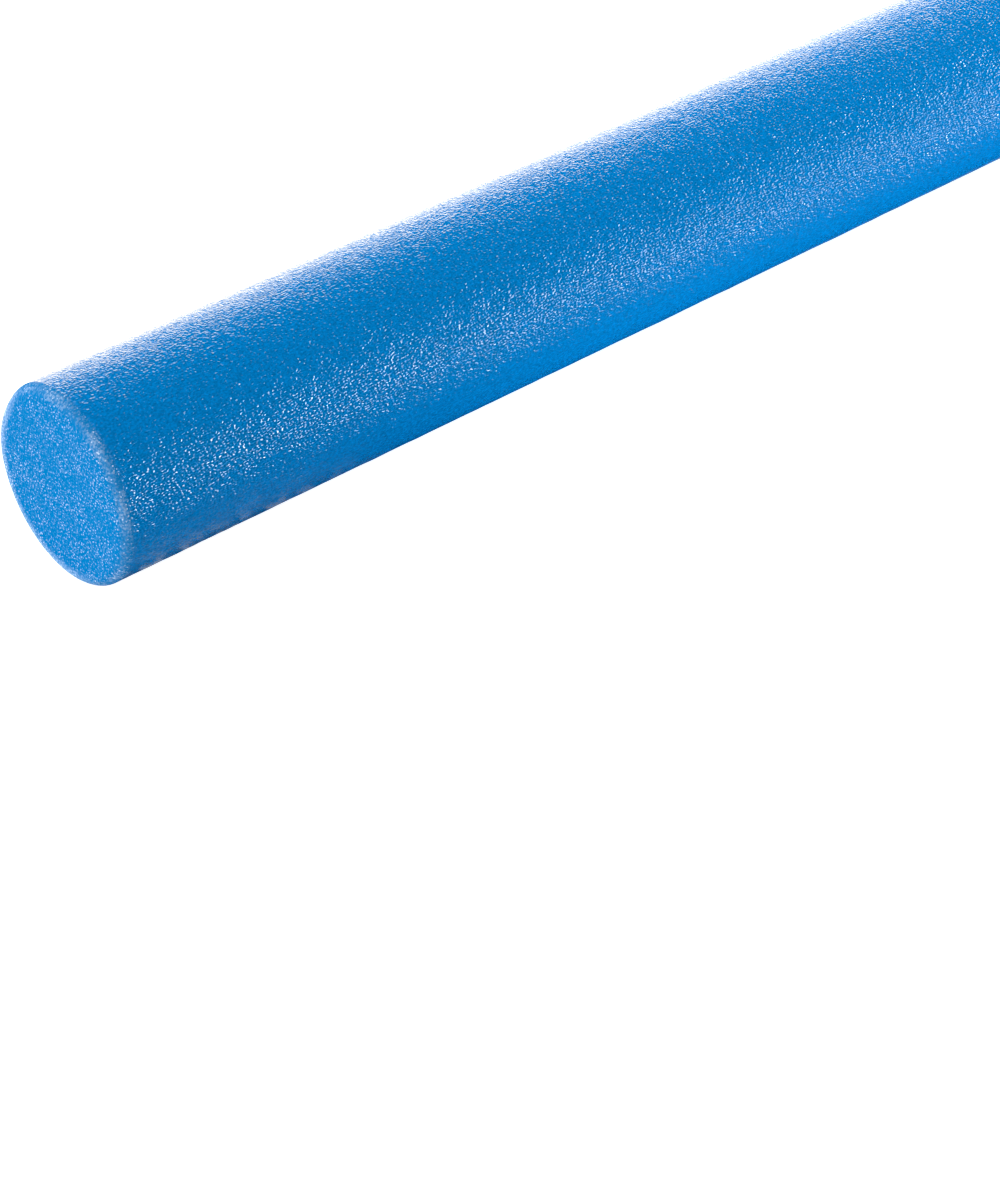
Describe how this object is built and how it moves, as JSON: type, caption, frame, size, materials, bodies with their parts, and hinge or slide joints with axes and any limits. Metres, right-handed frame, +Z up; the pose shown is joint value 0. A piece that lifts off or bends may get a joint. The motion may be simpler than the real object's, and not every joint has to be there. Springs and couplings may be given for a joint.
{
  "type": "pool noodle",
  "caption": "Round solid foam pool noodle with a closed glossy skin and square-cut ends, for floating, water play and water exercise.",
  "frame": {"origin": "middle of the line that the noodle lies on, on the surface under it", "axes": "+X along the noodle, from the cut end in the picture's foreground towards the end that leaves the frame; +Z up, through the noodle's axis"},
  "size_m": [1.6, 0.07, 0.0698],
  "materials": {
    "cut_foam": "matte",
    "foam_skin": "satin"
  },
  "bodies": {
    "root": {"foam_core": "cut_foam", "outer_skin": "foam_skin"}
  },
  "joints": []
}
